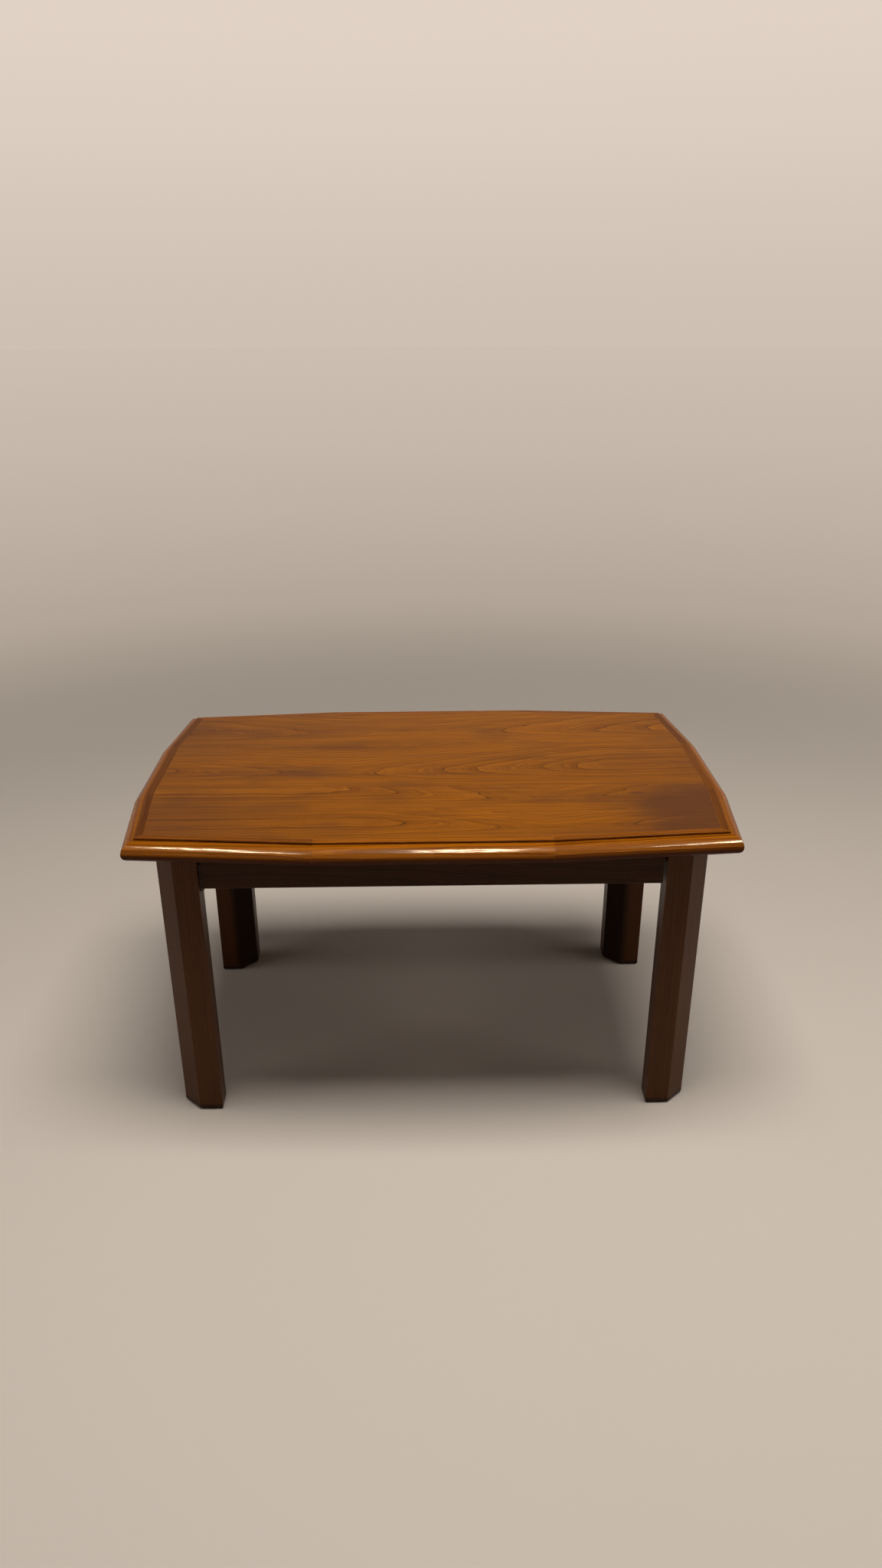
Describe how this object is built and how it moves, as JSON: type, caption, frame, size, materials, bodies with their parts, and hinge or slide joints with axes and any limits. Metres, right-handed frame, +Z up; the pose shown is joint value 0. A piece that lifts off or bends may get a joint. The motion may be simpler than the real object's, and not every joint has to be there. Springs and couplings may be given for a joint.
{
  "type": "folding low table",
  "caption": "Low rectangular table with a mitred, stepped bullnose border, chamfered square legs that fold flat under the top, and shallow aprons.",
  "frame": {"origin": "centre of the footprint, on the floor plane under the feet", "axes": "+X along the long side to the right as seen from the front, +Y towards the back, +Z up"},
  "size_m": [0.6, 0.406, 0.32],
  "materials": {
    "top_veneer": "gloss lacquer",
    "border_wood": "gloss lacquer",
    "core_board": "thinly stained board",
    "leg_wood": "satin lacquer",
    "apron_wood": "satin lacquer",
    "hidden_wood": "raw planed",
    "hinge_steel": "blackened",
    "pin_steel": "blackened",
    "catch_steel": "nickel plated",
    "screw_steel": "browned"
  },
  "bodies": {
    "table": {"border_front_left": "border_wood", "border_front_middle": "border_wood", "border_front_right": "border_wood", "border_right_front": "border_wood", "border_right_middle": "border_wood", "border_right_back": "border_wood", "border_back_right": "border_wood", "border_back_middle": "border_wood", "border_back_left": "border_wood", "border_left_back": "border_wood", "border_left_middle": "border_wood", "border_left_front": "border_wood", "veneer_back_leaf": "top_veneer", "veneer_front_leaf": "top_veneer", "panel_core": "core_board", "apron_front": "apron_wood", "apron_right": "apron_wood", "apron_back": "apron_wood", "apron_left": "apron_wood", "corner_brace_front_left": "hidden_wood", "corner_brace_front_right": "hidden_wood", "corner_brace_back_right": "hidden_wood", "corner_brace_back_left": "hidden_wood", "centre_batten": "hidden_wood", "frame_screws": "screw_steel", "hinge_screws_aprons": "screw_steel", "catch_magnets": "catch_steel", "hinge_apron_leaf_front_left": "hinge_steel", "hinge_apron_leaf_front_right": "hinge_steel", "hinge_apron_leaf_back_right": "hinge_steel", "hinge_apron_leaf_back_left": "hinge_steel", "hinge_pin_front_left": "pin_steel", "hinge_pin_front_right": "pin_steel", "hinge_pin_back_right": "pin_steel", "hinge_pin_back_left": "pin_steel"},
    "leg_front_left": {"leg_front_left": "leg_wood", "hinge_leg_leaf_front_left": "hinge_steel", "catch_strike_front_left": "catch_steel", "leg_screws_front_left": "screw_steel"},
    "leg_front_right": {"leg_front_right": "leg_wood", "hinge_leg_leaf_front_right": "hinge_steel", "catch_strike_front_right": "catch_steel", "leg_screws_front_right": "screw_steel"},
    "leg_back_right": {"leg_back_right": "leg_wood", "hinge_leg_leaf_back_right": "hinge_steel", "catch_strike_back_right": "catch_steel", "leg_screws_back_right": "screw_steel"},
    "leg_back_left": {"leg_back_left": "leg_wood", "hinge_leg_leaf_back_left": "hinge_steel", "catch_strike_back_left": "catch_steel", "leg_screws_back_left": "screw_steel"}
  },
  "joints": [
    {"name": "fold_front_left", "type": "hinge", "parent": "table", "child": "leg_front_left", "pos_m": [-0.2227, -0.1487, 0.25641], "axis": [0, -1, 0], "range_deg": [0, 90]},
    {"name": "fold_front_right", "type": "hinge", "parent": "table", "child": "leg_front_right", "pos_m": [0.2497, -0.1217, 0.24191], "axis": [1, 0, 0], "range_deg": [0, 90]},
    {"name": "fold_back_right", "type": "hinge", "parent": "table", "child": "leg_back_right", "pos_m": [0.2227, 0.1487, 0.25641], "axis": [0, 1, 0], "range_deg": [0, 90]},
    {"name": "fold_back_left", "type": "hinge", "parent": "table", "child": "leg_back_left", "pos_m": [-0.2497, 0.1217, 0.24191], "axis": [-1, 0, 0], "range_deg": [0, 90]}
  ]
}
